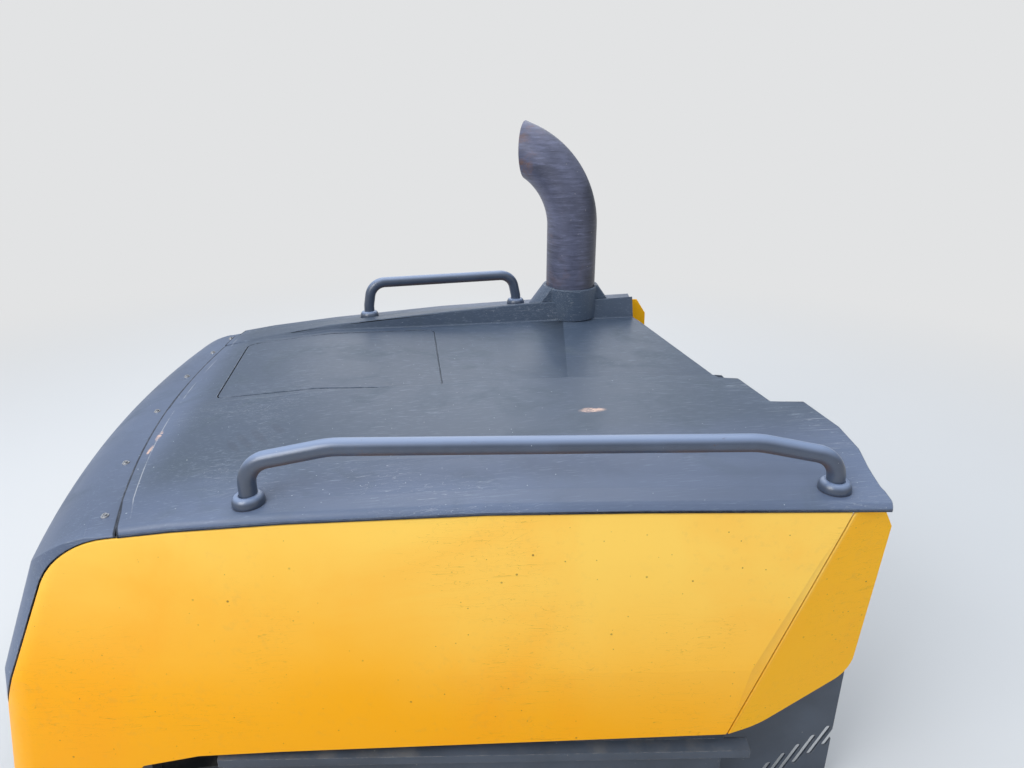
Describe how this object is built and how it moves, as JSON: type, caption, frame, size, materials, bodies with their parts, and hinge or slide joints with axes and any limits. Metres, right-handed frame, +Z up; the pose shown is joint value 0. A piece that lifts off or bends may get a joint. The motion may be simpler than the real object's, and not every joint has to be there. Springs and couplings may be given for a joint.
{
  "type": "engine bonnet with sill frame, for a forestry forwarder",
  "caption": "Tapering engine bonnet with grab rails, exhaust stack, service hatch and yellow side panels, tilting forward on a sill frame.",
  "frame": {"origin": "centre of the four chassis bolts, on the underside of the sills", "axes": "+X back towards the cab, +Y to the machine's right, +Z up"},
  "size_m": [1.62, 1.4017, 1.2676],
  "materials": {
    "cover_plastic": "moulded, matt",
    "yellow_paint": "satin paint",
    "rail_paint": "satin paint",
    "exhaust_steel": "heat-darkened, brushed",
    "frame_paint": "satin paint",
    "skirt_paint": "satin paint",
    "pin_steel": "ground",
    "cylinder_paint": "satin paint",
    "rod_chrome": "hard chrome",
    "rubber": "matt",
    "grille_paint": "satin paint",
    "lamp_glass": "clear"
  },
  "bodies": {
    "root": {"front_crossmember": "frame_paint", "left_buffer": "rubber", "left_hinge_pin": "pin_steel", "left_sill": "frame_paint", "left_skirt": "skirt_paint", "rear_crossmember": "frame_paint", "right_buffer": "rubber", "right_hinge_pin": "pin_steel", "right_sill": "frame_paint", "right_skirt": "skirt_paint"},
    "bonnet": {"cowl_bow": "frame_paint", "exhaust_collar": "cover_plastic", "exhaust_stack": "exhaust_steel", "foot_ring": "frame_paint", "front_bow": "frame_paint", "grille": "grille_paint", "hatch_pins": "pin_steel", "hinge_beam": "frame_paint", "left_corner_panel": "yellow_paint", "left_front_post": "frame_paint", "left_grab_rail": "rail_paint", "left_headlamp": "lamp_glass", "left_low_rail": "frame_paint", "left_middle_post": "frame_paint", "left_rear_post": "frame_paint", "left_shoulder_rail": "frame_paint", "left_side_panel": "yellow_paint", "middle_bow": "frame_paint", "nose_bow": "frame_paint", "nose_cover": "cover_plastic", "rear_bow": "frame_paint", "right_corner_panel": "yellow_paint", "right_front_post": "frame_paint", "right_grab_rail": "rail_paint", "right_headlamp": "lamp_glass", "right_low_rail": "frame_paint", "right_middle_post": "frame_paint", "right_rear_post": "frame_paint", "right_shoulder_rail": "frame_paint", "right_side_panel": "yellow_paint", "top_cover": "cover_plastic"},
    "hatch": {"hatch_lid": "cover_plastic", "hatch_arms": "frame_paint"},
    "lift_barrel_body": {"lift_barrel": "cylinder_paint"},
    "lift_rod_body": {"lift_rod": "rod_chrome"}
  },
  "joints": [
    {"name": "bonnet_tilt", "type": "hinge", "parent": "root", "child": "bonnet", "pos_m": [-0.71, 0, 0.12], "axis": [0, -1, 0], "range_deg": [0, 55]},
    {"name": "hatch_hinge", "type": "hinge", "parent": "bonnet", "child": "hatch", "pos_m": [-0.48, 0, 0.67662], "axis": [0, -1, 0], "range_deg": [0, 90]},
    {"name": "lift_pivot", "type": "hinge", "parent": "root", "child": "lift_barrel_body", "pos_m": [-0.113, -0.485, 0.057], "axis": [0, 1, 0], "range_deg": [-5, 5]},
    {"name": "lift_stroke", "type": "slide", "parent": "lift_barrel_body", "child": "lift_rod_body", "axis": [-0.9208, 0, 0.3901], "range_m": [0, 0.187]}
  ],
  "couplings": [
    {"joint": "lift_pivot", "follows": "bonnet_tilt", "ratio": 0.00832},
    {"joint": "lift_stroke", "follows": "bonnet_tilt", "m_per_rad": 0.19258}
  ]
}
